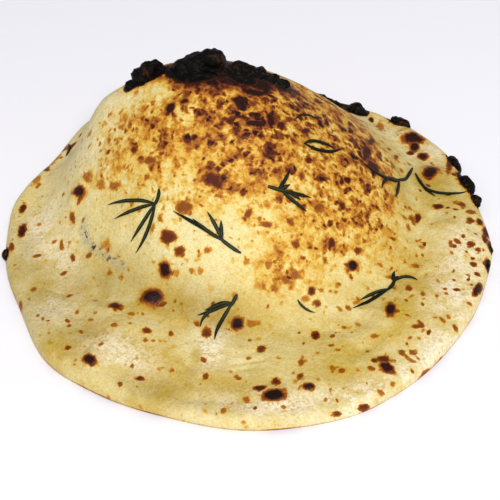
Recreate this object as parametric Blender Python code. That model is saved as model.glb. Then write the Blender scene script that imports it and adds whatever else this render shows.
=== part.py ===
"""Rosemary focaccia: a round flatbread that puffed up into one tent-shaped bubble in the oven.

The bubble stands off centre towards the back, its crest is charred into black lumps, and a thin
flat rim with burnt blisters runs round it. Rosemary sprigs and loose needles lie on the crust.
Sizes are in millimetres and the meshes in metres, +Z up, with the origin at the middle of the
flat underside. The front of the bread faces -Y.
"""

import math
from collections import namedtuple

import bmesh
import bpy
from mathutils import Vector, noise
from mathutils.bvhtree import BVHTree

MM = 0.001
DOWN = Vector((0.0, 0.0, -1.0))

# Outline of the dough, seen from above
BREAD_RADIUS = 149.0
Lobe = namedtuple("Lobe", "bearing half_width reach")
OUTLINE_LOBES = [
    Lobe(30, 10, 3.0),
    Lobe(78, 26, -9.0),
    Lobe(153, 9, -4.5),
    Lobe(172, 6, 2.0),
    Lobe(206, 9, -2.0),
    Lobe(224, 9, 3.0),
    Lobe(254, 12, -2.5),
    Lobe(293, 9, 1.5),
    Lobe(322, 10, -1.0),
    Lobe(353, 7, 2.5),
]

# Rim and underside
RIM_THICKNESS = 8.5
EDGE_ROUNDING = 6.0
EDGE_LIFT = 3.0
FLAT_BASE_SHARE = 0.8

# The bubble: its peak, height and foot, with the foot's distance from the peak every 45 degrees
BUBBLE_PEAK = (-22.0, 40.0)
BUBBLE_HEIGHT = 88.0
BUBBLE_FOOT = (131.0, 107.0, 89.0, 103.0, 104.5, 107.0, 118.0, 130.0)
BUBBLE_FULLNESS = 1.6
FOOT_FILLET = 18.0

# Soft swellings: the bubble's shoulders, and the lobes and pillows of the flat rim
Swelling = namedtuple("Swelling", "x y half_length half_width height turn")
SHOULDERS = [
    Swelling(-73, 36, 30, 34, 6.0, 0),
    Swelling(40, 40, 36, 30, -4.0, 0),
    Swelling(-60, 49, 22, 14, 4.0, 0),
    Swelling(-91, 50, 15, 24, 9.5, 0),
    Swelling(-120, 66, 16, 24, -9.0, 0),
]
RIM_PILLOWS = [
    Swelling(-80, -95, 38, 26, 6.0, -40),
    Swelling(-46, -92, 13, 17, 2.5, 0),
    Swelling(20, -118, 40, 20, 4.0, 0),
    Swelling(95, -75, 40, 22, 4.0, 50),
    Swelling(128, 0, 16, 40, 4.0, 0),
]

# Low blisters in the crust, under the larger brown spots
Blister = namedtuple("Blister", "x y radius height")
LOW_BLISTERS = [
    Blister(-103, 5, 8, 2.6),
    Blister(-54, -65, 7, 1.8),
    Blister(-47, -54, 5, 1.4),
    Blister(15, -131, 8, 1.6),
    Blister(33, -126, 6, 1.2),
    Blister(-85, -109, 7, 1.4),
    Blister(-5, -81, 6, 1.6),
    Blister(-75, -70, 6, 1.2),
    Blister(75, -114, 8, 1.6),
    Blister(82, -72, 6, 1.2),
    Blister(62, -45, 6, 1.4),
    Blister(109, 84, 9, 2.6),
    Blister(118, 66, 7, 1.6),
    Blister(120, 47, 8, 2.2),
    Blister(135, -56, 6, 1.4),
]

# Uneven surface of hand-stretched dough
WAVE_LENGTH = 34.0
WAVE_HEIGHT = 1.3
RIPPLE_LENGTH = 13.0
RIPPLE_HEIGHT = 0.45

# Burnt lumps: x, y, height of the centre over the crust, half sizes, turn and level of detail
Lump = namedtuple("Lump", "x y rise half_x half_y half_z turn detail")
CREST_LUMPS = [
    Lump(-71, 46, -2.5, 5.5, 5.0, 5.0, 0, 1),
    Lump(-64, 47, 2.5, 7.0, 6.0, 6.0, 25, 2),
    Lump(-54, 48, 2.0, 8.5, 6.5, 6.5, -10, 2),
    Lump(-46, 47, -1.0, 7.0, 6.0, 4.0, 0, 1),
    Lump(-37, 44, 0.5, 8.5, 8.0, 6.0, 30, 2),
    Lump(-29, 45, 1.0, 9.0, 8.0, 6.5, 0, 2),
    Lump(-23, 42, 4.5, 8.0, 8.0, 6.5, -20, 2),
    Lump(-26, 32, -1.0, 10.0, 7.5, 5.0, 10, 2),
    Lump(-11, 34, -1.0, 9.0, 8.0, 4.5, -25, 1),
    Lump(-8, 46, 0.0, 9.0, 7.5, 5.0, 0, 2),
    Lump(4, 47, 0.5, 9.0, 7.0, 4.5, 15, 1),
    Lump(13, 48, -1.0, 8.0, 6.0, 3.5, 0, 1),
    Lump(24, 52, 1.5, 9.0, 5.0, 3.0, -10, 1),
]

# Burnt blisters on the rim: bearing, distance from the middle, centre height, half sizes, detail
RimBlister = namedtuple("RimBlister", "bearing distance z half_along half_out half_z detail")
RIM_BLISTERS = [
    RimBlister(56, 137.0, 7.5, 6.5, 5.5, 6.5, 2),
    RimBlister(62, 135.0, 7.5, 8.0, 3.5, 3.5, 1),
    RimBlister(67, 138.0, 7.5, 7.0, 3.0, 4.0, 1),
    RimBlister(44, 147.5, 6.5, 8.5, 4.5, 4.0, 2),
    RimBlister(23, 150.5, 5.5, 8.0, 3.5, 4.2, 2),
    RimBlister(15, 149.5, 6.0, 8.0, 4.5, 4.8, 2),
    RimBlister(9, 150.5, 5.5, 5.0, 3.5, 3.8, 1),
    RimBlister(353, 150.5, 5.0, 4.5, 2.5, 3.0, 1),
    RimBlister(347, 149.0, 5.0, 4.5, 2.5, 3.0, 1),
    RimBlister(189, 149.5, 5.0, 4.5, 2.5, 3.0, 1),
]
LUMP_NOISE_SCALE = 0.14
LUMP_NOISE_SHARE = 0.55
LUMP_LOWEST = 0.8

# Mesh density: rings of the dough's disc, with six more points on each ring than on the last
SECTORS = 6
DISC_RINGS = 27
EDGE_RINGS = 3
UNDERSIDE_RINGS = 2

# Rosemary: half width and half thickness of a needle and of a stem, and the gap to the crust
NEEDLE_WIDTH = 1.05
NEEDLE_THICKNESS = 0.65
STEM_WIDTH = 0.9
STEM_THICKNESS = 0.8
RESTING_GAP = 0.4
FOOT_SHARE = 0.6
FOOT_END = 0.2
TIP_SHARE = 0.3
TIP_START = 0.75
TUBE_SIDES = 6
TUBE_STATIONS = 7
NORMAL_REACH = 2.5

# A sprig's stem starts at x, y; each needle starts some way along it. Bearings are in degrees,
# lengths follow the crust, bow is the sideways bulge to the left, lift is how far the tip stands up
Stem = namedtuple("Stem", "x y bearing length bow")
Needle = namedtuple("Needle", "along bearing length bow lift")
SPRIGS = {
    "rosemary_sprig_left": (Stem(-52.5, -27.8, 68, 10, -1.5), [
        Needle(1.0, 159, 33, -1.0, 1.5),
        Needle(0.5, 174, 28, -0.5, 1.0),
        Needle(0.5, 219, 26, 0.0, 1.0),
        Needle(1.0, 237, 31, 2.5, 1.5),
    ]),
    "rosemary_sprig_middle": (Stem(-14.5, -47.0, 333, 14, -0.6), [
        Needle(0.5, 152, 32, 0.5, 1.0),
        Needle(1.5, 149, 21, 0.8, 1.0),
        Needle(1.0, 125, 18, -0.6, 1.0),
        Needle(1.0, 93, 11, 0.2, 1.0),
    ]),
    "rosemary_sprig_upper": (Stem(12.0, -23.0, 0, 12, -0.4), [
        Needle(6.0, 60, 14, -0.6, 1.5),
        Needle(7.0, 36, 7, 0.0, 1.0),
        Needle(8.5, 4, 18, 0.0, 1.0),
        Needle(8.0, 336, 19, -0.4, 1.0),
        Needle(11.0, 345, 10, 0.7, 0.5),
    ]),
    "rosemary_pair_top": (Stem(33.0, 7.0, 26, 32, -4.3), [
        Needle(0.5, 21, 24, 3.7, 0.5),
    ]),
    "rosemary_sprig_ridge": (Stem(94.0, 23.0, 60, 29, -1.5), [
        Needle(1.0, 196, 37, 5.0, 0.5),
        Needle(0.5, 207, 12, 1.5, 0.5),
        Needle(0.5, 233, 26, -3.0, 0.5),
        Needle(1.5, 256, 18, 0.6, 0.5),
    ]),
    "rosemary_pair_right": (Stem(108.5, 41.0, 300, 23, -1.4), [
        Needle(9.0, 350, 33, -6.5, 1.0),
    ]),
    "rosemary_sprig_front": (Stem(82.0, -57.0, 59, 9, -0.7), [
        Needle(1.0, 214, 27, 0.8, 0.5),
        Needle(1.0, 207, 20, -1.2, 0.5),
        Needle(8.0, 88, 7, 0.5, 1.5),
        Needle(8.5, 58, 4, 0.0, 1.0),
        Needle(7.5, 2, 17, 4.5, 0.3),
    ]),
    "rosemary_sprig_low": (Stem(-8.5, -73.0, 55, 7, -0.2), [
        Needle(0.5, 194, 21, -1.1, 0.5),
        Needle(0.5, 215, 27, -6.5, 0.5),
        Needle(1.0, 245, 27, -2.8, 0.5),
        Needle(1.5, 188, 17, -1.0, 0.5),
    ]),
}
LOOSE_NEEDLES = {
    "rosemary_needle_crest": Stem(28.5, 22.0, 31, 24, 4.5),
    "rosemary_needle_small": Stem(29.0, -69.0, 329, 13, -1.7),
    "rosemary_needle_edge": Stem(-119.0, 60.0, 92, 13, -1.5),
}

# Colours as linear values, and roughness
CRUST_COLOUR = (0.76, 0.56, 0.26, 1.0)
CRUST_ROUGHNESS = 0.6
ROSEMARY_COLOUR = (0.035, 0.040, 0.014, 1.0)
ROSEMARY_ROUGHNESS = 0.7
SMOOTH_ANGLE = math.radians(50)


def clear_scene():
    for item in list(bpy.data.objects):
        bpy.data.objects.remove(item, do_unlink=True)


def make_material(name, colour, roughness):
    material = bpy.data.materials.new(name)
    material.use_nodes = True
    shader = material.node_tree.nodes["Principled BSDF"]
    shader.inputs["Base Color"].default_value = colour
    shader.inputs["Roughness"].default_value = roughness
    shader.inputs["Metallic"].default_value = 0.0
    return material


def new_object(name, mesh):
    data = bpy.data.meshes.new(name)
    mesh.to_mesh(data)
    mesh.free()
    item = bpy.data.objects.new(name, data)
    bpy.context.scene.collection.objects.link(item)
    return item


def outline_radius(bearing):
    """Distance from the middle to the dough's edge, in millimetres, at a bearing in degrees."""
    radius = BREAD_RADIUS
    for lobe in OUTLINE_LOBES:
        apart = (bearing - lobe.bearing + 180.0) % 360.0 - 180.0
        radius += lobe.reach * math.exp(-(apart / lobe.half_width) ** 2)
    return radius


def bubble_foot(bearing):
    """Distance from the bubble's peak to its foot: a smooth closed curve through the named ones."""
    count = len(BUBBLE_FOOT)
    place = (bearing % 360.0) / 360.0 * count
    index = int(place) % count
    u = place - int(place)
    a, b, c, d = (BUBBLE_FOOT[(index + step) % count] for step in (-1, 0, 1, 2))
    line = 2 * b + (c - a) * u
    square = (2 * a - 5 * b + 4 * c - d) * u * u
    cube = (3 * b - 3 * c + d - a) * u ** 3
    return 0.5 * (line + square + cube)


def smooth_max(a, b, width):
    """The higher of two heights, with a fillet where they cross."""
    share = min(max(0.5 + 0.5 * (a - b) / width, 0.0), 1.0)
    return b + (a - b) * share + width * share * (1.0 - share)


def swelling_height(swelling, x, y):
    turn = math.radians(swelling.turn)
    dx = x - swelling.x
    dy = y - swelling.y
    along = (dx * math.cos(turn) + dy * math.sin(turn)) / swelling.half_length
    across = (dy * math.cos(turn) - dx * math.sin(turn)) / swelling.half_width
    return swelling.height * math.exp(-(along ** 2 + across ** 2))


def blister_height(blister, x, y):
    distance = math.hypot(x - blister.x, y - blister.y) / blister.radius
    return blister.height * max(0.0, 1.0 - distance ** 2)


def crust_height(x, y):
    """Height of the crust over the underside at x, y, before the edge is rounded over."""
    dx = x - BUBBLE_PEAK[0]
    dy = y - BUBBLE_PEAK[1]
    out = math.hypot(dx, dy) / bubble_foot(math.degrees(math.atan2(dy, dx)))
    bubble = BUBBLE_HEIGHT * (1.0 - out ** BUBBLE_FULLNESS)
    bubble += sum(swelling_height(shoulder, x, y) for shoulder in SHOULDERS)
    rim = sum(swelling_height(pillow, x, y) for pillow in RIM_PILLOWS)
    height = RIM_THICKNESS + smooth_max(bubble, rim, FOOT_FILLET)
    height += sum(blister_height(blister, x, y) for blister in LOW_BLISTERS)
    place = Vector((x, y, 0.0))
    height += WAVE_HEIGHT * noise.noise(place / WAVE_LENGTH)
    height += RIPPLE_HEIGHT * noise.noise(place / RIPPLE_LENGTH)
    return height


def rounded_height(x, y):
    """Height of the crust with its outer edge rounded over and down to the lifted underside."""
    inset = outline_radius(math.degrees(math.atan2(y, x))) - math.hypot(x, y)
    height = crust_height(x, y)
    if inset < EDGE_ROUNDING:
        over = min(1.0, 1.0 - inset / EDGE_ROUNDING)
        height = EDGE_LIFT + (height - EDGE_LIFT) * math.sqrt(1.0 - over * over)
    return height


def ring_points(share, count):
    """Points of one ring of the disc, at a share of the outline's radius."""
    for step in range(count):
        angle = 2.0 * math.pi * step / count
        radius = share * outline_radius(math.degrees(angle))
        yield radius * math.cos(angle), radius * math.sin(angle)


def join_rings(mesh, inner, outer, reverse=False):
    """Faces between two rings of as many points, or where the outer one has six more."""
    faces = []
    if len(inner) == len(outer):
        for a in range(len(inner)):
            b = (a + 1) % len(inner)
            faces.append((inner[a], outer[a], outer[b], inner[b]))
    else:
        steps = len(outer) // SECTORS
        for sector in range(SECTORS):
            for step in range(steps):
                o = sector * steps + step
                i = sector * (steps - 1) + step
                start = inner[i % len(inner)]
                faces.append((start, outer[o], outer[(o + 1) % len(outer)]))
                if step < steps - 1:
                    faces.append((start, outer[(o + 1) % len(outer)], inner[(i + 1) % len(inner)]))
    for face in faces:
        mesh.faces.new(reversed(face) if reverse else face)


def make_dough():
    """The bread without its burnt lumps: a disc of rings over a flat underside."""
    mesh = bmesh.new()
    disc_share = 1.0 - EDGE_ROUNDING / BREAD_RADIUS
    rings = [[mesh.verts.new((0.0, 0.0, rounded_height(0.0, 0.0) * MM))]]
    for index in range(1, DISC_RINGS + EDGE_RINGS + 1):
        if index <= DISC_RINGS:
            share = disc_share * index / DISC_RINGS
        else:
            turn = 0.5 * math.pi * (index - DISC_RINGS) / EDGE_RINGS
            share = disc_share + (1.0 - disc_share) * math.sin(turn)
        count = SECTORS * min(index, DISC_RINGS)
        ring = []
        for x, y in ring_points(share, count):
            ring.append(mesh.verts.new((x * MM, y * MM, rounded_height(x, y) * MM)))
        rings.append(ring)
    for a, b in zip(rings[1], rings[1][1:] + rings[1][:1]):
        mesh.faces.new((rings[0][0], a, b))
    for inner, outer in zip(rings[1:], rings[2:]):
        join_rings(mesh, inner, outer)

    edge = rings[-1]
    for index in range(1, UNDERSIDE_RINGS + 1):
        lift = 1.0 - index / UNDERSIDE_RINGS
        share = FLAT_BASE_SHARE + (1.0 - FLAT_BASE_SHARE) * lift
        ring = []
        for x, y in ring_points(share, len(edge)):
            ring.append(mesh.verts.new((x * MM, y * MM, EDGE_LIFT * lift * lift * MM)))
        join_rings(mesh, ring, edge, reverse=True)
        edge = ring
    mesh.faces.new(reversed(edge))
    bmesh.ops.triangulate(mesh, faces=mesh.faces[:])
    return new_object("rosemary_focaccia", mesh)


def make_lump(name, centre, half_sizes, turn, detail):
    """One burnt lump: a ball pulled out of round by noise, squashed, turned and put in place."""
    mesh = bmesh.new()
    bmesh.ops.create_icosphere(mesh, subdivisions=detail, radius=1.0)
    turn = math.radians(turn)
    for vert in mesh.verts:
        x, y, z = (value * half for value, half in zip(vert.co, half_sizes))
        spot = Vector((x, y, z)) * LUMP_NOISE_SCALE + centre * LUMP_NOISE_SCALE
        swell = 1.0 + LUMP_NOISE_SHARE * noise.noise(spot)
        turned = (x * math.cos(turn) - y * math.sin(turn), x * math.sin(turn) + y * math.cos(turn), z)
        point = centre + Vector(turned) * swell
        point.z = max(point.z, LUMP_LOWEST)
        vert.co = point * MM
    return new_object(name, mesh)


def make_lumps():
    """The charred lumps along the crest and the burnt blisters on the rim."""
    lumps = []
    for lump in CREST_LUMPS:
        centre = Vector((lump.x, lump.y, crust_height(lump.x, lump.y) + lump.rise))
        half_sizes = (lump.half_x, lump.half_y, lump.half_z)
        lumps.append(make_lump("crest_lump", centre, half_sizes, lump.turn, lump.detail))
    for blister in RIM_BLISTERS:
        angle = math.radians(blister.bearing)
        centre = Vector((math.cos(angle), math.sin(angle), 0.0)) * blister.distance
        centre.z = blister.z
        half_sizes = (blister.half_out, blister.half_along, blister.half_z)
        lumps.append(make_lump("rim_blister", centre, half_sizes, blister.bearing, blister.detail))
    return lumps


def keep_main_body(data):
    """Drop the loose scraps of a fused mesh and fill the hollows that fusing sealed in it."""
    mesh = bmesh.new()
    mesh.from_mesh(data)
    unseen = set(mesh.verts)
    bodies = []
    for seed in mesh.verts:
        if seed not in unseen:
            continue
        unseen.remove(seed)
        body = []
        front = [seed]
        while front:
            vert = front.pop()
            body.append(vert)
            for edge in vert.link_edges:
                other = edge.other_vert(vert)
                if other in unseen:
                    unseen.remove(other)
                    front.append(other)
        bodies.append(body)
    bodies.sort(key=len)
    for scrap in bodies[:-1]:
        bmesh.ops.delete(mesh, geom=scrap, context="VERTS")
    mesh.to_mesh(data)
    mesh.free()


def fuse(base, extras):
    """One closed solid from a base and the solids that sink into it."""
    group = bpy.data.collections.new("fused_pieces")
    bpy.context.scene.collection.children.link(group)
    for item in extras:
        bpy.context.scene.collection.objects.unlink(item)
        group.objects.link(item)
    union = base.modifiers.new("fuse", "BOOLEAN")
    union.operation = "UNION"
    union.operand_type = "COLLECTION"
    union.collection = group
    union.solver = "EXACT"
    bpy.context.view_layer.update()
    solid = bpy.data.meshes.new_from_object(base.evaluated_get(bpy.context.evaluated_depsgraph_get()))
    keep_main_body(solid)
    base.modifiers.clear()
    base.data = solid
    for item in list(group.objects):
        bpy.data.objects.remove(item, do_unlink=True)
    bpy.data.collections.remove(group)


def finish(item, material):
    item.data.materials.clear()
    item.data.materials.append(material)
    item.data.shade_smooth()
    item.data.set_sharp_from_angle(angle=SMOOTH_ANGLE)


class Crust:
    """The baked surface that the rosemary lies on."""

    def __init__(self, bread):
        depsgraph = bpy.context.evaluated_depsgraph_get()
        self.tree = BVHTree.FromObject(bread, depsgraph)

    def point(self, x, y):
        above = Vector((x, y, 2.0 * BUBBLE_HEIGHT)) * MM
        hit = self.tree.ray_cast(above, DOWN)[0]
        return hit / MM

    def normal(self, x, y):
        east = self.point(x + NORMAL_REACH, y) - self.point(x - NORMAL_REACH, y)
        north = self.point(x, y + NORMAL_REACH) - self.point(x, y - NORMAL_REACH)
        return east.cross(north).normalized()


def walk(crust, x, y, bearing, length, bow):
    """Points and crust normals along a gently bowed path of a given length over the crust."""
    steps = TUBE_STATIONS - 1
    # An arc that bulges by bow over its length starts and ends this far off its bearing
    swing = 4.0 * bow / length
    path = []
    for step in range(TUBE_STATIONS):
        point = crust.point(x, y)
        normal = crust.normal(x, y)
        path.append((point, normal))
        heading = math.radians(bearing) + swing * (1.0 - 2.0 * (step + 0.5) / steps)
        ahead = Vector((math.cos(heading), math.sin(heading), 0.0))
        slope = -normal.dot(ahead) / normal.z
        reach = length / steps / math.sqrt(1.0 + slope * slope)
        x += reach * ahead.x
        y += reach * ahead.y
    return path


def tube_share(along):
    """How full a needle is along its length: narrow foot, even middle, rounded tip."""
    foot = FOOT_SHARE + (1.0 - FOOT_SHARE) * min(1.0, along / FOOT_END)
    tip = TIP_SHARE + (1.0 - TIP_SHARE) * min(1.0, (1.0 - along) / (1.0 - TIP_START))
    return min(foot, tip)


def make_tube(name, path, half_width, half_thickness, lift):
    """A flattened, tapered tube laid along a path, just clear of the crust."""
    mesh = bmesh.new()
    middles = []
    for index, (point, normal) in enumerate(path):
        along = index / (len(path) - 1)
        middles.append(point + normal * (RESTING_GAP + half_thickness + lift * along * along))
    rings = []
    for index, (point, normal) in enumerate(path):
        before = middles[max(index - 1, 0)]
        after = middles[min(index + 1, len(path) - 1)]
        ahead = (after - before).normalized()
        side = normal.cross(ahead).normalized()
        share = tube_share(index / (len(path) - 1))
        ring = []
        for step in range(TUBE_SIDES):
            angle = 2.0 * math.pi * step / TUBE_SIDES
            spread = side * half_width * math.cos(angle) + normal * half_thickness * math.sin(angle)
            ring.append(mesh.verts.new((middles[index] + spread * share) * MM))
        rings.append(ring)
    for first, second in zip(rings, rings[1:]):
        for a in range(TUBE_SIDES):
            b = (a + 1) % TUBE_SIDES
            mesh.faces.new((first[a], first[b], second[b], second[a]))
    mesh.faces.new(reversed(rings[0]))
    mesh.faces.new(rings[-1])
    bmesh.ops.recalc_face_normals(mesh, faces=mesh.faces[:])
    bmesh.ops.triangulate(mesh, faces=mesh.faces[:])
    return new_object(name, mesh)


def make_sprig(name, crust, stem, needles):
    """A sprig: its stem, with each needle fused on where it grows out."""
    stem_path = walk(crust, stem.x, stem.y, stem.bearing, stem.length, stem.bow)
    sprig = make_tube(name, stem_path, STEM_WIDTH, STEM_THICKNESS, 0.0)
    leaves = []
    for needle in needles:
        share = needle.along / stem.length * (len(stem_path) - 1)
        index = min(int(share), len(stem_path) - 2)
        foot = stem_path[index][0].lerp(stem_path[index + 1][0], share - index)
        path = walk(crust, foot.x, foot.y, needle.bearing, needle.length, needle.bow)
        leaves.append(make_tube("needle", path, NEEDLE_WIDTH, NEEDLE_THICKNESS, needle.lift))
    fuse(sprig, leaves)
    return sprig


def make_loose_needle(name, crust, needle):
    path = walk(crust, needle.x, needle.y, needle.bearing, needle.length, needle.bow)
    return make_tube(name, path, NEEDLE_WIDTH, NEEDLE_THICKNESS, 0.0)


clear_scene()
crust_material = make_material("crust", CRUST_COLOUR, CRUST_ROUGHNESS)
rosemary_material = make_material("rosemary", ROSEMARY_COLOUR, ROSEMARY_ROUGHNESS)

bread = make_dough()
fuse(bread, make_lumps())
finish(bread, crust_material)

surface = Crust(bread)
for sprig_name, (sprig_stem, sprig_needles) in SPRIGS.items():
    finish(make_sprig(sprig_name, surface, sprig_stem, sprig_needles), rosemary_material)
for needle_name, loose_needle in LOOSE_NEEDLES.items():
    finish(make_loose_needle(needle_name, surface, loose_needle), rosemary_material)
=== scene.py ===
"""Rosemary focaccia: a round flatbread that puffed up in a hot oven, dressed for its photograph.

The crust, its burnt crest and its leopard spots come first, then the rosemary that lies on it,
then the floor, the light and the camera. Sizes are in millimetres unless a name says otherwise.
"""

import math
import random

import bmesh
import bpy
import numpy as np
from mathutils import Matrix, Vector, noise
from mathutils.bvhtree import BVHTree


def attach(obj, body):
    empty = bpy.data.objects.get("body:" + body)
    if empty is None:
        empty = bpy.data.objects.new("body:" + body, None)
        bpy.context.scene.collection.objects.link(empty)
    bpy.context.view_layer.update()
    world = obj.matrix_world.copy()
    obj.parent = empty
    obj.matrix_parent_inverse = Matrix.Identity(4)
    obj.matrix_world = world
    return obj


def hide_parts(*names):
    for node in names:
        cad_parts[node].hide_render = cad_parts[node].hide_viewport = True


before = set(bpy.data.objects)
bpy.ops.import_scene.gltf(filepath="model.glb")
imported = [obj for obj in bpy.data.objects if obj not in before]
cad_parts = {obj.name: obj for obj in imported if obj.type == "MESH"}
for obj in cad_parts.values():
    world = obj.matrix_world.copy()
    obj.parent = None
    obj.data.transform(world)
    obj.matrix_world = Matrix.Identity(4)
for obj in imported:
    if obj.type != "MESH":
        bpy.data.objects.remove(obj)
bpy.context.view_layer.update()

# The dough: a disc of stretched bread dough that steam has blown up into one tent-shaped bubble.
# It is laid out as rings over a flat underside, with the height of each point worked out from the
# bubble, its shoulders and the pillows of the rim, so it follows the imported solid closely.
MM = 0.001  # metres in a millimetre
BREAD_RADIUS = 149.0
OUTLINE_LOBES = [  # bearing, half width, reach
    (30, 10, 3.0), (78, 26, -9.0), (153, 9, -4.5), (172, 6, 2.0), (206, 9, -2.0),
    (224, 9, 3.0), (254, 12, -2.5), (293, 9, 1.5), (322, 10, -1.0), (353, 7, 2.5),
]
RIM_THICKNESS = 8.5
EDGE_ROUNDING = 6.0
EDGE_LIFT = 3.0
FLAT_BASE_SHARE = 0.8
BUBBLE_PEAK = (-22.0, 40.0)
BUBBLE_HEIGHT = 88.0
BUBBLE_FOOT = (131.0, 107.0, 89.0, 103.0, 104.5, 107.0, 118.0, 130.0)  # every 45 degrees
BUBBLE_FULLNESS = 1.6
FOOT_FILLET = 18.0
SHOULDERS = [  # x, y, half length, half width, height, turn
    (-73, 36, 30, 34, 6.0, 0), (40, 40, 36, 30, -4.0, 0), (-60, 49, 22, 14, 4.0, 0),
    (-91, 50, 15, 24, 9.5, 0), (-120, 66, 16, 24, -9.0, 0),
]
RIM_PILLOWS = [
    (-80, -95, 38, 26, 6.0, -40), (-46, -92, 13, 17, 2.5, 0), (20, -118, 40, 20, 4.0, 0),
    (95, -75, 40, 22, 4.0, 50), (128, 0, 16, 40, 4.0, 0),
]
LOW_BLISTERS = [  # x, y, radius, height
    (-103, 5, 8, 2.6), (-54, -65, 7, 1.8), (-47, -54, 5, 1.4), (15, -131, 8, 1.6), (33, -126, 6, 1.2),
    (-85, -109, 7, 1.4), (-5, -81, 6, 1.6), (-75, -70, 6, 1.2), (75, -114, 8, 1.6), (82, -72, 6, 1.2),
    (62, -45, 6, 1.4), (109, 84, 9, 2.6), (118, 66, 7, 1.6), (120, 47, 8, 2.2), (135, -56, 6, 1.4),
]
WAVES = [(34.0, 1.8), (13.0, 0.7), (5.5, 0.22), (2.6, 0.08)]  # length, height
CREASES = [  # from x, y to x, y, width, depth: where the skin of the dough folded as it rose
    (-36, -83, -31, -111, 4, 1.8), (-33, -132, 5, -135, 3, 1.1), (-8, -110, 9, -108, 1.5, 0.7),
    (-7, -115, 11, -113, 1.5, 0.7), (-6, -104, 9, -101, 1.5, 0.7), (-50, -62, -7, -80, 8, 3.4),
    (97, 41, 106, 15, 5, 2), (106, 15, 104, -17, 5, 2), (-106, -56, -86, -88, 8, 2),
    (40, -88, 66, -80, 6, 1.4), (58, -104, 74, -92, 5, 1.2), (-88, -60, -50, -62, 8, 1.8),
]
DISC_RINGS = 124
POINTS_ADDED = 6  # more points on each ring of the disc than on the one inside it
EDGE_RINGS = 7
UNDERSIDE_RINGS = 6
BASE_RINGS = (420, 300, 210, 150, 96, 60, 30, 12)  # points on each ring of the flat base


def outline_radius(bearing):
    """Distance from the middle to the dough's edge at bearings in degrees."""
    radius = np.full_like(bearing, BREAD_RADIUS)
    for middle, half_width, reach in OUTLINE_LOBES:
        apart = (bearing - middle + 180.0) % 360.0 - 180.0
        radius += reach * np.exp(-(apart / half_width) ** 2)
    return radius


def bubble_foot(bearing):
    """Distance from the bubble's peak to its foot: a smooth closed curve through the named ones."""
    foot = np.array(BUBBLE_FOOT)
    place = (bearing % 360.0) / 360.0 * len(foot)
    index = place.astype(int)
    u = place - index
    a, b, c, d = (foot[(index + step) % len(foot)] for step in (-1, 0, 1, 2))
    cube = (3 * b - 3 * c + d - a) * u ** 3
    return 0.5 * (2 * b + (c - a) * u + (2 * a - 5 * b + 4 * c - d) * u * u + cube)


def oval(x, y, place):
    """How far points lie from an oval's middle, in half sizes: place is x, y, half sizes, turn."""
    turn = math.radians(place[4])
    dx = x - place[0]
    dy = y - place[1]
    along = (dx * math.cos(turn) + dy * math.sin(turn)) / place[2]
    across = (dy * math.cos(turn) - dx * math.sin(turn)) / place[3]
    return np.hypot(along, across)


def uneven(x, y, length):
    """Smooth noise of one wave length at each point."""
    return np.array([noise.noise(Vector((a / length, b / length, 0.0))) for a, b in zip(x, y)])


def near_lines(x, y, lines):
    """How strongly points feel the nearest of some lines: ends, width, most."""
    share = np.zeros_like(x)
    for x0, y0, x1, y1, width, most in lines:
        length = math.hypot(x1 - x0, y1 - y0)
        along = ((x - x0) * (x1 - x0) + (y - y0) * (y1 - y0)) / length ** 2
        along = np.clip(along, 0.0, 1.0)
        apart = np.hypot(x - x0 - along * (x1 - x0), y - y0 - along * (y1 - y0))
        share = np.maximum(share, most * np.exp(-(apart / width) ** 2))
    return share


def crust_height(x, y):
    """Height of the crust over the underside, before the edge is rounded over."""
    dx = x - BUBBLE_PEAK[0]
    dy = y - BUBBLE_PEAK[1]
    out = np.hypot(dx, dy) / bubble_foot(np.degrees(np.arctan2(dy, dx)))
    bubble = BUBBLE_HEIGHT * (1.0 - out ** BUBBLE_FULLNESS)
    for cx, cy, length, width, height, turn in SHOULDERS:
        bubble += height * np.exp(-oval(x, y, (cx, cy, length, width, turn)) ** 2)
    rim = np.zeros_like(x)
    for cx, cy, length, width, height, turn in RIM_PILLOWS:
        rim += height * np.exp(-oval(x, y, (cx, cy, length, width, turn)) ** 2)
    share = np.clip(0.5 + 0.5 * (bubble - rim) / FOOT_FILLET, 0.0, 1.0)
    height = RIM_THICKNESS + rim + (bubble - rim) * share + FOOT_FILLET * share * (1.0 - share)
    for cx, cy, radius, rise in LOW_BLISTERS:
        height += rise * np.clip(1.0 - (np.hypot(x - cx, y - cy) / radius) ** 2, 0.0, 1.0)
    for length, rise in WAVES:
        height += rise * uneven(x, y, length)
    return height - near_lines(x, y, CREASES)


def rounded_height(x, y):
    """Height of the crust with its outer edge rounded over and down to the lifted underside."""
    inset = outline_radius(np.degrees(np.arctan2(y, x))) - np.hypot(x, y)
    over = np.clip(1.0 - inset / EDGE_ROUNDING, 0.0, 1.0)
    return EDGE_LIFT + (crust_height(x, y) - EDGE_LIFT) * np.sqrt(1.0 - over * over)


def ring(share, count):
    """Plan places of one ring of points at a share of the outline's radius."""
    angle = np.arange(count) * 2.0 * math.pi / count
    radius = share * outline_radius(np.degrees(angle))
    return radius * np.cos(angle), radius * np.sin(angle)


def join_rings(faces, inner, outer):
    """Triangles between two rings of any number of points, each taken in turn by its share round."""
    if len(inner) == 1:
        faces.extend((inner[0], a, b) for a, b in zip(outer, outer[1:] + outer[:1]))
        return
    i = 0
    o = 0
    while i < len(inner) or o < len(outer):
        a = inner[i % len(inner)]
        b = outer[o % len(outer)]
        outer_next = (o + 1) * len(inner) <= (i + 1) * len(outer) and o < len(outer)
        if outer_next or i == len(inner):
            o += 1
            faces.append((a, b, outer[o % len(outer)]))
        else:
            i += 1
            faces.append((a, b, inner[i % len(inner)]))


def new_object(name, data):
    """An object that shows a mesh, a lamp or a camera, linked to the scene."""
    item = bpy.data.objects.new(name, data)
    bpy.context.scene.collection.objects.link(item)
    return item


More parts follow.
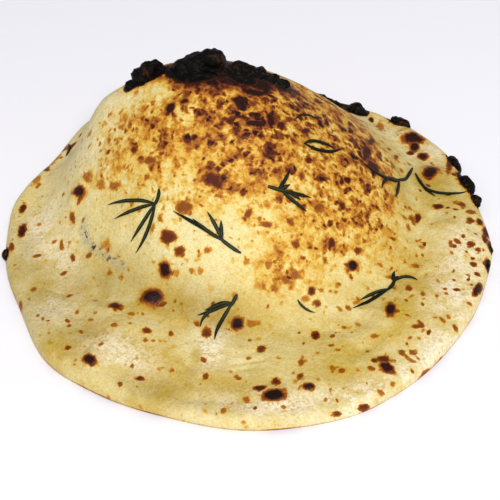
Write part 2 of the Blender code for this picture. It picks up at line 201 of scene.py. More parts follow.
def make_dough():
    """The whole dough as one closed mesh: disc, rounded edge, lifted rim and flat base."""
    points = [(0.0, 0.0, rounded_height(np.zeros(1), np.zeros(1))[0])]
    rings = [[0]]
    faces = []

    def add_ring(x, y, z):
        start = len(points)
        points.extend(zip(x, y, z))
        rings.append(list(range(start, len(points))))

    disc_share = 1.0 - EDGE_ROUNDING / BREAD_RADIUS
    for index in range(1, DISC_RINGS + EDGE_RINGS + 1):
        if index <= DISC_RINGS:
            share = disc_share * index / DISC_RINGS
        else:
            quarter = 0.5 * math.pi * (index - DISC_RINGS) / EDGE_RINGS
            share = disc_share + (1.0 - disc_share) * math.sin(quarter)
        x, y = ring(share, POINTS_ADDED * min(index, DISC_RINGS))
        add_ring(x, y, rounded_height(x, y))
    rim_index = len(rings) - 1
    for index in range(1, UNDERSIDE_RINGS + 1):
        lift = 1.0 - index / UNDERSIDE_RINGS
        x, y = ring(FLAT_BASE_SHARE + (1.0 - FLAT_BASE_SHARE) * lift, len(rings[rim_index]))
        add_ring(x, y, np.full_like(x, EDGE_LIFT * lift * lift))
    for index, count in enumerate(BASE_RINGS):
        x, y = ring(FLAT_BASE_SHARE * (1.0 - (index + 1) / (len(BASE_RINGS) + 1)), count)
        add_ring(x, y, np.zeros_like(x))
    points.append((0.0, 0.0, 0.0))
    rings.append([len(points) - 1])

    for inner, outer in zip(rings[:rim_index], rings[1:rim_index + 1]):
        join_rings(faces, inner, outer)
    below = []
    for outer, inner in zip(rings[rim_index:], rings[rim_index + 1:]):
        join_rings(below, inner, outer)
    faces.extend(face[::-1] for face in below)
    data = bpy.data.meshes.new("focaccia_crust")
    data.from_pydata([tuple(point) for point in np.asarray(points) * MM], [], faces)
    return new_object("focaccia_crust", data)


bread = make_dough()

# The burnt crest and blisters: thin bubbles of dough that caught the flame and charred to brittle
# black lumps. They are noise-shaped balls melted into one skin and fused with the dough.
CREST_LUMPS = [  # x, y, height of the centre over the crust, half sizes, turn
    (-68, 46.5, -1.8, 5.5, 4.5, 3.2, 20), (-63, 48, 0.8, 7, 6, 4.8, 10),
    (-57, 48.5, 2.6, 7, 6, 5.6, 0), (-45, 47, -3.6, 7, 4.5, 3.4, 0),
    (-37, 45, 0, 9, 7, 5, 20), (-29, 45.5, 2, 9, 7.5, 6.2, 0),
    (-20, 44, 5, 8.5, 7, 6.8, -20), (-26, 38, -3.6, 12, 6, 4.2, 5),
    (-9, 41, -3.6, 12, 5.5, 3.8, -10), (-5, 48, -1.8, 10, 6.5, 3.8, 0),
    (3, 49, -2, 9, 6, 3.4, 8), (11, 50.5, -1.9, 9, 5.4, 3, 10),
    (19, 52.5, -1.7, 8.5, 4.5, 2.5, 12),
]
RIM_BLISTERS = [  # bearing, distance, height of the centre, half sizes along, out and up
    (56, 137, 7.5, 6.5, 5.5, 6.5), (62, 135, 7.5, 8, 3.5, 3.5), (67, 138, 7.5, 7, 3, 4),
    (44, 147.5, 6.5, 8.5, 4.5, 4), (23, 150.5, 5.5, 8, 3.5, 4.2), (15, 148.2, 6, 9, 4.5, 4.8),
    (9, 149.2, 5.5, 6, 3.5, 3.8), (353, 150, 5, 4, 1.9, 2.6), (347, 148.4, 5, 4, 1.9, 2.6),
    (189, 148.4, 5, 4, 1.9, 2.6),
]
LUMP_NOISE_LENGTH = 9.0
LUMP_NOISE_SHARE = 0.25
CHAR_RELIEF = [(11.0, 1.2), (4.5, 1.0), (2.0, 0.6)]  # length, height
LUMP_LOWEST = 0.8
LUMP_DETAIL = 5
CHAR_VOXEL = 0.75
RELAX_FACTOR = 0.5
RELAX_ROUNDS = 22


def lump_places():
    """Centre, half sizes and turn of every burnt lump, crest and rim alike."""
    places = []
    for x, y, rise, half_x, half_y, half_z, turn in CREST_LUMPS:
        ground = crust_height(np.array([float(x)]), np.array([float(y)]))[0]
        places.append((Vector((x, y, ground + rise)), (half_x, half_y, half_z), turn))
    for bearing, distance, z, along, out, up in RIM_BLISTERS:
        angle = math.radians(bearing)
        centre = Vector((math.cos(angle) * distance, math.sin(angle) * distance, z))
        places.append((centre, (out, along, up), bearing))
    return places


def make_char(places):
    """All burnt lumps as one skin."""
    mesh = bmesh.new()
    for centre, half, turn in places:
        turn = math.radians(turn)
        made = bmesh.ops.create_icosphere(mesh, subdivisions=LUMP_DETAIL, radius=1.0)
        for vert in made["verts"]:
            x, y, z = (value * size for value, size in zip(vert.co, half))
            spot = Vector((x, y, z)) + centre
            swell = 1.0 + LUMP_NOISE_SHARE * noise.noise(spot / LUMP_NOISE_LENGTH)
            east = x * math.cos(turn) - y * math.sin(turn)
            north = x * math.sin(turn) + y * math.cos(turn)
            point = centre + Vector((east, north, z)) * swell
            point.z = max(point.z, LUMP_LOWEST)
            vert.co = point * MM
    data = bpy.data.meshes.new("char")
    mesh.to_mesh(data)
    mesh.free()
    char = new_object("char", data)
    skin = char.modifiers.new("skin", "REMESH")
    skin.mode = "VOXEL"
    skin.voxel_size = CHAR_VOXEL * MM
    relax = char.modifiers.new("relax", "SMOOTH")
    relax.factor = RELAX_FACTOR
    relax.iterations = RELAX_ROUNDS
    bake_modifiers(char)
    normals = [normal.vector.copy() for normal in char.data.vertex_normals]
    for vert, normal in zip(char.data.vertices, normals):
        spot = vert.co / MM
        rise = sum(height * noise.noise(spot / length) for length, height in CHAR_RELIEF)
        vert.co = vert.co + normal * rise * MM
    return char


def bake_modifiers(item):
    """Turn an object's modifiers into its plain mesh."""
    depsgraph = bpy.context.evaluated_depsgraph_get()
    data = bpy.data.meshes.new_from_object(item.evaluated_get(depsgraph))
    item.modifiers.clear()
    item.data = data


def keep_largest(data):
    """Leave one shell of triangles: drop the loose scraps and sealed hollows."""
    mesh = bmesh.new()
    mesh.from_mesh(data)
    unseen = set(mesh.verts)
    shells = []
    while unseen:
        front = [unseen.pop()]
        shell = []
        while front:
            vert = front.pop()
            shell.append(vert)
            for edge in vert.link_edges:
                other = edge.other_vert(vert)
                if other in unseen:
                    unseen.remove(other)
                    front.append(other)
        shells.append(shell)
    shells.sort(key=len)
    for shell in shells[:-1]:
        bmesh.ops.delete(mesh, geom=shell, context="VERTS")
    bmesh.ops.triangulate(mesh, faces=mesh.faces[:])
    mesh.to_mesh(data)
    mesh.free()


lumps = lump_places()
burnt = make_char(lumps)
union = bread.modifiers.new("fuse", "BOOLEAN")
union.operation = "UNION"
union.object = burnt
union.solver = "MANIFOLD"
bake_modifiers(bread)
keep_largest(bread.data)
bpy.data.objects.remove(burnt, do_unlink=True)
bread.data.shade_smooth()

# The bake: where the oven browned, blistered, floured and oiled the crust, and where shade is painted into
# its hollows and low edges. Each is written on the mesh under a name, most as a share from 0 to 1, and the
# crust's finish reads it.
SPOTS = [  # the large ones: x, y, half sizes, turn, how dark, with 1 and over for burnt
    # The first two darken a thin line along the front-right edge.
    (108, -103, 5, 1, 43, 0.7), (98, -112, 4, 1, 41, 0.55), (146, -14, 4, 1.6, 85, 0.8),
    (-19, -22, 7.5, 4, -15, 0.8), (-35, -32, 5.5, 3, -15, 0.6), (-45, -43, 4.5, 2.5, -20, 0.75),
    (-38, -50, 3, 2, -15, 0.7), (-47, -55, 4, 2.5, -25, 1), (-54, -66, 6, 5, -20, 1),
    (1, -36, 3.5, 2, 55, 0.65), (11, -40, 3.5, 1.5, 5, 0.6), (28, -46, 2.5, 1.5, 25, 0.65),
    (37, -64, 2.5, 2, 10, 0.8), (22, -61, 3, 2, 0, 0.55), (28, -58, 2.5, 2, 10, 0.55),
    (16, -65, 2.5, 1.5, 0, 0.5), (40, -70, 2.5, 2, 40, 0.65), (-5, -82, 4, 3.5, 90, 1),
    (4, -82, 4, 2, 0, 0.4), (-22, -88, 4, 3, -85, 0.7), (39, -88, 3, 2.5, 85, 0.8),
    (42, -25, 4.5, 3, 60, 0.6), (8, -100, 2.5, 2, 40, 0.7), (30, -110, 3.5, 1.5, 85, 0.55),
    (29, -120, 2.5, 1.5, 55, 0.65), (33, -127, 3.5, 2, 0, 1), (16, -123, 2.5, 2.5, -70, 0.75),
    (7, -127, 3.5, 1.5, 5, 0.8), (15, -132, 6, 3.5, 5, 1.1), (47, -141, 3, 1, 10, 0.7),
    (62, -136, 3, 1, 20, 0.75), (-148, -25, 2.5, 1.5, -70, 0.8), (-131, -65, 3, 1.5, -85, 0.5),
    (-104, -32, 2.5, 1.5, -60, 0.6), (-75, -70, 4.5, 3.5, -45, 0.85), (-56, -89, 2.5, 2, -5, 0.7),
    (-85, -110, 4.5, 3, -30, 1), (-57, -120, 2.5, 1.5, 5, 0.7), (-132, 51, 4.5, 2, -70, 0.65),
    (-128, 61, 6.5, 2.5, 65, 0.4), (-137, 41, 4.5, 3, 70, 0.4), (-102, 3, 5.5, 2.5, -40, 1),
    (-97, 8, 4.5, 2.5, -55, 0.5), (-142, 15, 5, 2, 85, 0.8), (-139, -6, 6, 2.5, -90, 0.9),
    (-143, -20, 3.5, 1.5, -75, 0.65), (-106, -7, 3.5, 1.5, -75, 0.6), (-112, -22, 3.5, 1.5, -75, 0.5),
    (-83, -33, 3.5, 2, -35, 0.35), (-87, -2, 4, 2, -55, 0.45), (-78, -8, 3.5, 2, -40, 0.5),
    (-75, -1, 3.5, 1.5, -35, 0.4), (-66, 3, 2.5, 1.5, -35, 0.75), (-56, -6, 4.5, 2, -25, 0.6),
    (-44, 17, 4, 3, 60, 1), (-36, 19, 3, 2, 0, 0.95), (-46, 14, 2, 1.5, -35, 0.8),
    (-48, 10, 3, 1.5, -30, 0.4), (-16, 15, 2, 2, 55, 0.75), (-13, 8, 2, 1.5, 5, 0.75),
    (-4, 20, 5, 3.5, 65, 1), (4, 29, 7.5, 3.5, 10, 1.05), (10, 36, 5.5, 3, 30, 1),
    (6, 8, 7.5, 2.5, 10, 1), (14, 12, 4, 2.5, 60, 1), (-6, 3, 2, 1.5, 10, 0.8),
    (20, 13, 3.5, 2, 50, 0.9), (25, 20, 4, 2, 60, 0.7), (35, 18, 4.5, 2, 55, 0.85),
    (-13, -1, 3.5, 1.5, 20, 0.5), (15, -6, 3.5, 2, 20, 0.85), (36, -2, 3, 2, 60, 0.8),
    (43, -9, 3.5, 2, 35, 0.75), (60, -1, 3.5, 2, 35, 0.95), (43, 56, 4.5, 1.5, 75, 0.6),
    (57, 55, 5, 1.5, 70, 0.55), (32, 39, 4, 2, 60, 0.6), (26, 41, 3, 1.5, 60, 0.6),
    (47, 33, 3.5, 2, 60, 0.55), (53, 25, 3.5, 2, 65, 0.55), (79, 47, 7.5, 2, 70, 0.9),
    (74, 29, 9, 3, 75, 0.9), (78, 20, 6, 4, 50, 0.9), (82, 34, 4, 1.5, 65, 0.65),
    (97, 51, 5.5, 1.5, 75, 0.6), (56, -18, 3, 2, 55, 0.8), (48, -31, 2, 1, 30, 0.8),
    (106, 2, 4.5, 2, 70, 0.8), (102, 0, 3.5, 2, 55, 0.6), (72, -15, 3, 1.5, 60, 0.5),
    (49, -39, 3, 2, 55, 0.8), (65, -37, 3, 1.5, 30, 0.7), (62, -46, 3.5, 2.5, 35, 1.1),
    (108, -19, 2.5, 1, 80, 0.75), (86, 15, 3.5, 1.5, 55, 0.5), (89, 4, 3, 1.5, 70, 0.5),
    (91, 94, 8, 3, 80, 0.45), (113, 81, 8.5, 5, 15, 1), (113, 74, 6, 3.5, 75, 1),
    (109, 66, 3.5, 2, 50, 0.8), (117, 63, 4, 3, 10, 0.9), (120, 46, 7.5, 4.5, 45, 1),
    (135, 60, 15, 2, 75, 0.7), (120, 13, 3.5, 2.5, -5, 0.8), (141, 9, 3.5, 2, 10, 0.55),
    (139, 1, 2.5, 2, 20, 0.7), (145, 1, 3.5, 2.5, 55, 0.8), (148, -7, 6, 2.5, 75, 0.9),
    (132, 17, 2.5, 2, 35, 0.4), (135, -36, 2, 2, 30, 0.7), (136, -43, 2, 1.5, 35, 0.7),
    (135, -55, 6, 2, 60, 0.95), (82, -73, 5, 3, 85, 1), (96, -85, 3.5, 1.5, 5, 0.6),
    (76, -114, 4, 4, 35, 1), (75, -107, 3.5, 2.5, 20, 0.75),
]
TAN_ZONES = [  # x, y, half sizes, turn, strength
    (2, 24, 54, 17, 8, 0.52), (-34, 6, 30, 18, 0, 0.42), (36, 42, 36, 18, -15, 0.8),
    (6, 14, 30, 22, 8, 0.8), (66, 30, 18, 34, -20, 0.75), (86, 24, 14, 24, 0, 0.4),
    (56, -20, 34, 30, 0, 0.5), (8, -13, 46, 19, 0, 0.46), (-70, 14, 28, 18, 0, 0.42),
    (88, -30, 22, 24, 0, 0.5), (27, -57, 26, 12, 0, 0.44), (20, 80, 70, 34, 0, 0.75),
    (40, -42, 28, 14, 0, 0.3), (21, -62, 13, 6, 5, 0.85), (78, -10, 22, 28, 0, 0.35),
    (-52, -8, 26, 18, 0, 0.32), (-8, -29, 24, 10, 0, 0.35), (10, -4, 22, 14, 0, 0.6),
]
TAN_STARTS = 6.0  # heights over which the tan grows from none to full, but for its least share
TAN_FULL = 32.0
TAN_LEAST = 0.3
FLOUR_ZONES = [
    (-112, -30, 14, 20, 10, 0.7), (-112, -70, 15, 14, 0, 0.9), (-128, -4, 11, 24, 0, 0.9),
    (-70, -105, 22, 13, -25, 0.9), (-20, -99, 10, 15, 0, 1), (18, -136, 40, 8, 0, 1),
    (100, -104, 34, 11, 45, 1), (122, -56, 14, 28, -15, 1), (133, -24, 12, 20, 0, 0.9),
    (58, -132, 28, 8, 20, 0.9), (118, 72, 20, 14, -40, 0.7), (-95, 62, 20, 18, 0, 0.6),
    (-60, 84, 50, 24, 15, 0.5), (70, 108, 40, 14, -40, 0.5), (-90, 26, 20, 20, 0, 0.5),
]
# Oiled patches, and painted shade where the bubble meets the front rim and along the left rim: all darken
# and yellow the crust.
OIL_AND_SHADE_ZONES = [
    (108, -24, 14, 24, 0, 0.8), (124, 0, 14, 10, 0, 0.7), (-45, -104, 26, 14, -15, 1),
    (-16, -122, 34, 10, -5, 1), (54, -112, 24, 14, 30, 1), (88, -76, 26, 16, 40, 1),
    (-88, -90, 18, 14, -20, 1), (-80, -32, 22, 16, 0, 0.5), (-30, -76, 36, 9, -18, 1),
    (100, 28, 10, 26, 0, 0.8), (100, 96, 20, 10, -30, 0.6), (-104, -100, 18, 14, -40, 0.9),
    (-130, -40, 12, 22, -20, 0.6), (22, -84, 30, 10, 0, 0.7), (-84, -62, 46, 11, -8, 0.9),
    (96, -56, 16, 16, 0, 0.8), (-51, -129, 20, 10, -10, 1), (-12, -74, 22, 9, -8, 1),
    (91, -34, 14, 16, 0, 0.4), (-4, -138, 16, 6, 0, 0.7), (44, -132, 16, 8, 10, 0.8),
    (120, 34, 20, 32, 0, 0.9), (60, -90, 18, 14, 0, 0.9), (134, 10, 14, 20, 0, 0.7),
]
RIM_OIL = 0.4  # on the rim, growing from one height down to the other
RIM_OIL_STARTS = 32.0
RIM_OIL_FULL = 12.0
PAINTED_SHADE_ZONES = [  # painted shade: a grey darkening laid into the hollows at the bubble's foot and along the low edges
    (-82, -52, 34, 13, -10, 1), (-28, -73, 30, 9, -15, 1), (-122, -66, 20, 26, 0, 0.8),
    (-136, -24, 12, 30, 0, 0.7), (-94, -92, 20, 16, -40, 0.7), (-50, -128, 22, 12, -10, 0.6),
    (4, -130, 40, 10, 0, 0.4), (118, 40, 20, 26, 0, 0.4),
]
ASH_STREAKS = [  # from x, y to x, y, width, strength
    (-98, -16, -96, -25, 2.2, 1.0), (-96, -25, -88, -34, 2.0, 1.0), (-88, -34, -72, -47, 1.7, 0.8),
]
STREWN_SPOTS = [  # bearings, least distance from the middle, how many, half sizes, how dark
    (40, 150, 80, 65, 1.8, 4.0, 0.4, 1.0),  # the back, which the photograph doesn't show
    (150, 210, 45, 24, 1.1, 2.4, 0.36, 0.6), (210, 270, 45, 44, 1.0, 2.1, 0.36, 0.6),
    (270, 330, 50, 58, 1.0, 2.1, 0.36, 0.62), (330, 400, 60, 34, 1.1, 2.2, 0.4, 0.65),
    (335, 380, 120, 20, 1.4, 2.6, 0.5, 0.8), (300, 335, 125, 10, 1.2, 2.4, 0.45, 0.75),
    (295, 365, 95, 34, 1.1, 2.2, 0.36, 0.6),
]
STREWN_SEED = 11
STREWN_EDGE_GAP = 3.0
STREWN_ROUNDNESS = (0.55, 0.85)
SPOT_REACH = 3.5  # how far off a spot is felt, in its half sizes
SPOT_BLEND = 8.0  # how sharply the darker of two spots gives way to the other
CHAR_SPOT_SPREAD = 1.2
CHAR_SPOT_DARK = 1.05
SCORCH_SPREAD = (1.6, 2.5)  # the scorched skirt of a lump, in its half sizes
SCORCH_SHARE = 0.9
SCORCH_SHARE_WEAK = 0.35  # of the lumps at the crest's left end and on the rim
CREST_LEFT = -42.0
RIM_TOP = 20.0
BURNT_END = 1.75  # how far from a lump's middle its char ends, in its half sizes
BURNT_FADE = 0.6
BELOW_STARTS = -0.1  # upward part of the normal where the underside's bake starts and is full
BELOW_FULL = -0.5
BELOW_TOP = 6.0
FAR = 9.0
TINY = 1e-9


def zone_share(x, y, zones):
    """How far soft overlapping zones cover each point."""
    bare = np.ones_like(x)
    for cx, cy, half_x, half_y, turn, strength in zones:
        bare *= 1.0 - strength * np.exp(-oval(x, y, (cx, cy, half_x, half_y, turn)) ** 2)
    return 1.0 - bare


def strewn_spots():
    """Spots too small or too many to place one by one, thrown over sectors of the crust."""
    dice = random.Random(STREWN_SEED)
    spots = []
    for start, end, nearest, count, least, most, light, dark in STREWN_SPOTS:
        for _ in range(count):
            bearing = dice.uniform(start, end)
            farthest = outline_radius(np.array([bearing]))[0] - STREWN_EDGE_GAP
            distance = math.sqrt(dice.uniform(nearest ** 2, farthest ** 2))
            x = distance * math.cos(math.radians(bearing))
            y = distance * math.sin(math.radians(bearing))
            size = dice.uniform(least, most)
            narrow = size * dice.uniform(*STREWN_ROUNDNESS)
            spots.append((x, y, size, narrow, dice.uniform(-90, 90), dice.uniform(light, dark)))
    return spots


def write_share(data, name, values):
    """Keep one value for each point of a mesh under a name."""
    share = data.attributes.new(name, "FLOAT", "POINT")
    share.data.foreach_set("value", np.asarray(values, dtype=np.float32))


def mesh_points(data):
    """Places of all points of a mesh, in millimetres."""
    points = np.empty(len(data.vertices) * 3, dtype=np.float32)
    data.vertices.foreach_get("co", points)
    return points.reshape(-1, 3).astype(float) / MM


def burnt_share(points, places):
    """1 on the burnt lumps, falling to 0 a little way off them."""
    nearest = np.full(len(points), FAR)
    for centre, half, turn in places:
        angle = math.radians(turn)
        away = points - np.array(centre)
        along = away[:, 0] * math.cos(angle) + away[:, 1] * math.sin(angle)
        across = away[:, 1] * math.cos(angle) - away[:, 0] * math.sin(angle)
        apart = np.sqrt((along / half[0]) ** 2 + (across / half[1]) ** 2 + (away[:, 2] / half[2]) ** 2)
        nearest = np.minimum(nearest, apart)
    return np.clip((BURNT_END - nearest) / BURNT_FADE, 0.0, 1.0)


def spot_shares(x, y, spots):
    """How deep inside the nearest spot each point lies, in half sizes, and how dark that spot is."""
    inside = np.full(len(x), -1.0)
    total = np.full(len(x), TINY)
    dark = np.zeros(len(x))
    for cx, cy, half_x, half_y, turn, depth in spots:
        near = np.abs(x - cx) + np.abs(y - cy) < SPOT_REACH * (half_x + half_y)
        share = 1.0 - oval(x[near], y[near], (cx, cy, half_x, half_y, turn))
        inside[near] = np.maximum(inside[near], share)
        weight = np.exp(SPOT_BLEND * np.clip(share, -1.0, 1.0))
        total[near] += weight
        dark[near] += weight * depth
    return inside, dark / total


def write_bake(data, places):
    """Every share that the crust's finish reads, worked out at each point of the bread."""
    points = mesh_points(data)
    x, y, z = points.T
    spots = SPOTS + strewn_spots()
    scorched = []
    for centre, half, turn in places:
        spread = (half[0] * CHAR_SPOT_SPREAD, half[1] * CHAR_SPOT_SPREAD)
        spots.append((centre.x, centre.y, *spread, turn, CHAR_SPOT_DARK))
        skirt = (half[0] * SCORCH_SPREAD[0], half[1] * SCORCH_SPREAD[1])
        weak = centre.x < CREST_LEFT or centre.z < RIM_TOP
        scorched.append((centre.x, centre.y, *skirt, turn, SCORCH_SHARE_WEAK if weak else SCORCH_SHARE))
    spot, spot_depth = spot_shares(x, y, spots)
    normals = np.empty(len(x) * 3, dtype=np.float32)
    data.vertex_normals.foreach_get("vector", normals)
    upward = normals.reshape(-1, 3)[:, 2]
    below = np.clip((BELOW_STARTS - upward) / (BELOW_STARTS - BELOW_FULL), 0.0, 1.0) * (z < BELOW_TOP)
    height_share = np.clip((z - TAN_STARTS) / (TAN_FULL - TAN_STARTS), TAN_LEAST, 1.0)
    rim_share = np.clip((RIM_OIL_STARTS - z) / (RIM_OIL_STARTS - RIM_OIL_FULL), 0.0, 1.0)
    oil_and_shade = 1.0 - (1.0 - zone_share(x, y, OIL_AND_SHADE_ZONES)) * (1.0 - RIM_OIL * rim_share)
    shares = {
        "spot": spot, "spot_depth": spot_depth, "tan": zone_share(x, y, TAN_ZONES) * height_share,
        "flour": zone_share(x, y, FLOUR_ZONES), "painted_shade": zone_share(x, y, PAINTED_SHADE_ZONES), "oil_and_shade": oil_and_shade,
        "ash": near_lines(x, y, ASH_STREAKS), "scorch": zone_share(x, y, scorched),
        "burnt": burnt_share(points, places), "below": below,
    }
    for name, values in shares.items():
        write_share(data, name, values)


write_bake(bread.data, lumps)

# Short names for the kinds of node that are used most. A range's inputs 1 to 4 are the least and
# most that come in and the least and most that go out. A mix's inputs 6 and 7 are its colours.
MATH = "ShaderNodeMath"
RANGE = "ShaderNodeMapRange"
MIX = "ShaderNodeMix"
NOISE = "ShaderNodeTexNoise"
SHARE = "ShaderNodeAttribute"


def linear(code):
    """A hex colour as the linear values that a shader takes."""
    values = [int(code[place:place + 2], 16) / 255.0 for place in (1, 3, 5)]
    return tuple(v / 12.92 if v <= 0.04045 else ((v + 0.055) / 1.055) ** 2.4 for v in values) + (1.0,)


def add(tree, kind, inputs=None, out=0, **settings):
    """Add a node and return one of its outputs; inputs gives sockets a value or another output."""
    node = tree.nodes.new(kind)
    for name, value in settings.items():
        setattr(node, name, value)
    for key, value in (inputs or {}).items():
        if isinstance(value, bpy.types.NodeSocket):
            tree.links.new(value, node.inputs[key])
        else:
            node.inputs[key].default_value = value
    return node.outputs[out] if out is not None else node


def new_material(name):
    """A new material, its node tree and its shader."""
    material = bpy.data.materials.new(name)
    material.use_nodes = True
    return material, material.node_tree, material.node_tree.nodes["Principled BSDF"]


# Baked bread crust: starch and sugars browned from cream through gold and brown to black. It gives
# the eye one bake scale for every spot and freckle, dry flour patches, a slightly oily shine, and painted
# shade in its hollows and low edges.
crust_material, tree, shader = new_material("baked_bread_crust")
BAKE_STOPS = [(0.0, "#e8dba6"), (0.1, "#e4ce85"), (0.2, "#dcb44e"), (0.32, "#c98a2b"), (0.45, "#a7651c"),
              (0.58, "#7f4012"), (0.72, "#57220c"), (0.86, "#3a1208"), (1.0, "#1e0905")]
place = add(tree, "ShaderNodeTexCoord", out="Object")
wander = add(tree, NOISE, {"Vector": place, "Scale": 200.0, "Detail": 3.0}, out="Color")
wander = add(tree, "ShaderNodeVectorMath", {0: wander, 1: (0.5, 0.5, 0.5)}, operation="SUBTRACT")
wander = add(tree, "ShaderNodeVectorMath", {0: wander, "Scale": 0.006}, operation="SCALE")
wavy = add(tree, "ShaderNodeVectorMath", {0: place, 1: wander}, operation="ADD")
blotch = add(tree, NOISE, {"Vector": wavy, "Scale": 135.0, "Detail": 3.0, "Roughness": 0.55})
coarse, mottle, grain, pores, dusted, dust_grain = (
    add(tree, NOISE, {"Vector": place, "Scale": scale, "Detail": detail, "Roughness": rough})
    for scale, detail, rough in ((52.0, 3.0, 0.55), (330.0, 3.0, 0.6), (800.0, 2.0, 0.6), (400.0, 4.0, 0.6),
                                 (75.0, 5.0, 0.7), (560.0, 2.0, 0.6)))
tan, below, scorch, spot, depth, oil_and_shade, flour, painted_shade, ash = (
    add(tree, SHARE, out="Fac", attribute_name=name)
    for name in ("tan", "below", "scorch", "spot", "spot_depth", "oil_and_shade", "flour", "painted_shade", "ash"))
smooth = {"interpolation_type": "SMOOTHSTEP"}
mixed = {"out": 2, "data_type": "RGBA"}

# Mottling: soft golden blotches, browner and closer where the oven's flame tanned the crust
blotches = add(tree, RANGE, {0: blotch, 1: 0.43, 2: 0.66, 3: 0.19, 4: 0.55}, **smooth)
flecks = add(tree, RANGE, {0: mottle, 1: 0.42, 2: 0.68, 3: 0.0, 4: 0.24}, **smooth)
patches = add(tree, RANGE, {0: coarse, 1: 0.35, 2: 0.65, 3: -0.07, 4: 0.1}, **smooth)
golden = add(tree, MATH, {0: blotches, 1: flecks}, operation="ADD")
golden = add(tree, MATH, {0: golden, 1: patches}, operation="ADD")
cream = add(tree, RANGE, {0: mottle, 1: 0.5, 2: 0.8, 3: 0.0, 4: 0.07}, **smooth)
cream = add(tree, MATH, {0: coarse, 1: 0.06, 2: cream}, operation="MULTIPLY_ADD")
bake = add(tree, MATH, {0: golden, 1: tan, 2: cream}, operation="MULTIPLY_ADD")

# Freckles: small cells, each with its own size and darkness, thicker where the crust is tanned
for scale, spread, least, with_tan in ((150.0, 0.48, -0.17, 0.3), (245.0, 0.52, -0.24, 0.32)):
    cells = add(tree, "ShaderNodeTexVoronoi", {"Vector": wavy, "Scale": scale}, out=None)
    dice = add(tree, "ShaderNodeSeparateColor", {0: cells.outputs["Color"]}, out=None)
    size = add(tree, MATH, {0: dice.outputs[0], 1: spread, 2: least}, operation="MULTIPLY_ADD")
    size = add(tree, MATH, {0: tan, 1: with_tan, 2: size}, operation="MULTIPLY_ADD")
    size = add(tree, MATH, {0: size, 1: cells.outputs["Distance"]}, operation="SUBTRACT")
    freckle = add(tree, RANGE, {0: size, 1: -0.14, 2: 0.16}, **smooth)
    brown = add(tree, MATH, {0: dice.outputs[1], 1: 0.26, 2: 0.1}, operation="MULTIPLY_ADD")
    brown = add(tree, MATH, {0: tan, 1: 0.08, 2: brown}, operation="MULTIPLY_ADD")
    bake = add(tree, MATH, {0: freckle, 1: brown, 2: bake}, operation="MULTIPLY_ADD")

# The underside baked on the oven's floor, and the scorched skirt round the burnt lumps
hearth = add(tree, RANGE, {0: coarse, 1: 0.4, 2: 0.65, 3: 0.1, 4: 0.55}, **smooth)
bake = add(tree, MATH, {0: hearth, 1: below, 2: bake}, operation="MULTIPLY_ADD")
scorch = add(tree, RANGE, {0: scorch, 1: 0.45, 2: 1.0}, **smooth)
heat = add(tree, RANGE, {0: blotch, 1: 0.3, 2: 0.7, 3: 0.35, 4: 0.75}, **smooth)
bake = add(tree, MATH, {0: heat, 1: scorch, 2: bake}, operation="MULTIPLY_ADD")

# Leopard spots: a near-black heart in a brown ring, with an edge that wanders a little
ragged = add(tree, MATH, {0: blotch, 1: 0.5}, operation="SUBTRACT")
spot = add(tree, MATH, {0: ragged, 1: 1.1, 2: spot}, operation="MULTIPLY_ADD")
ragged = add(tree, MATH, {0: mottle, 1: 0.5}, operation="SUBTRACT")
broken = add(tree, MATH, {0: depth, 1: -2.6, 2: 3.2}, operation="MULTIPLY_ADD")
spot = add(tree, MATH, {0: ragged, 1: broken, 2: spot}, operation="MULTIPLY_ADD")
brown = add(tree, MATH, {0: depth, 1: 0.82}, operation="MULTIPLY")
brown = add(tree, MATH, {0: brown, 1: 0.62}, operation="MINIMUM")
edge = add(tree, RANGE, {0: spot, 1: -0.42, 2: 0.22, 3: 0.0, 4: 0.96}, **smooth)
brown = add(tree, MATH, {0: edge, 1: brown}, operation="MULTIPLY")
heart = add(tree, RANGE, {0: spot, 1: -0.05, 2: 0.42, 3: 0.0, 4: 0.93}, **smooth)
heart = add(tree, MATH, {0: heart, 1: depth}, operation="MULTIPLY")
halo = add(tree, RANGE, {0: spot, 1: -0.9, 2: 0.1, 3: 0.0, 4: 0.16}, **smooth)
halo = add(tree, MATH, {0: halo, 1: depth}, operation="MULTIPLY")
bake = add(tree, MATH, {0: bake, 1: halo}, operation="ADD")
bake = add(tree, MATH, {0: bake, 1: brown}, operation="MAXIMUM")
bake = add(tree, MATH, {0: bake, 1: heart}, operation="MAXIMUM")

ramp = add(tree, "ShaderNodeValToRGB", {0: bake}, out=None)
while len(ramp.color_ramp.elements) < len(BAKE_STOPS):
    ramp.color_ramp.elements.new(0.5)
for element, (stop, code) in zip(ramp.color_ramp.elements, BAKE_STOPS):
    element.position = stop
    element.color = linear(code)
colour = ramp.outputs[0]

# Oiled hollows, and painted shade at the bubble's foot and on the left rim, are yellower and darker; greyer
# painted shade darkens other hollows and low edges; floured patches are pale and grainy
oil_and_shade_breakup = add(tree, RANGE, {0: coarse, 1: 0.3, 2: 0.6, 3: 0.35, 4: 1.0}, **smooth)
oil_and_shade = add(tree, MATH, {0: oil_and_shade, 1: oil_and_shade_breakup}, operation="MULTIPLY")
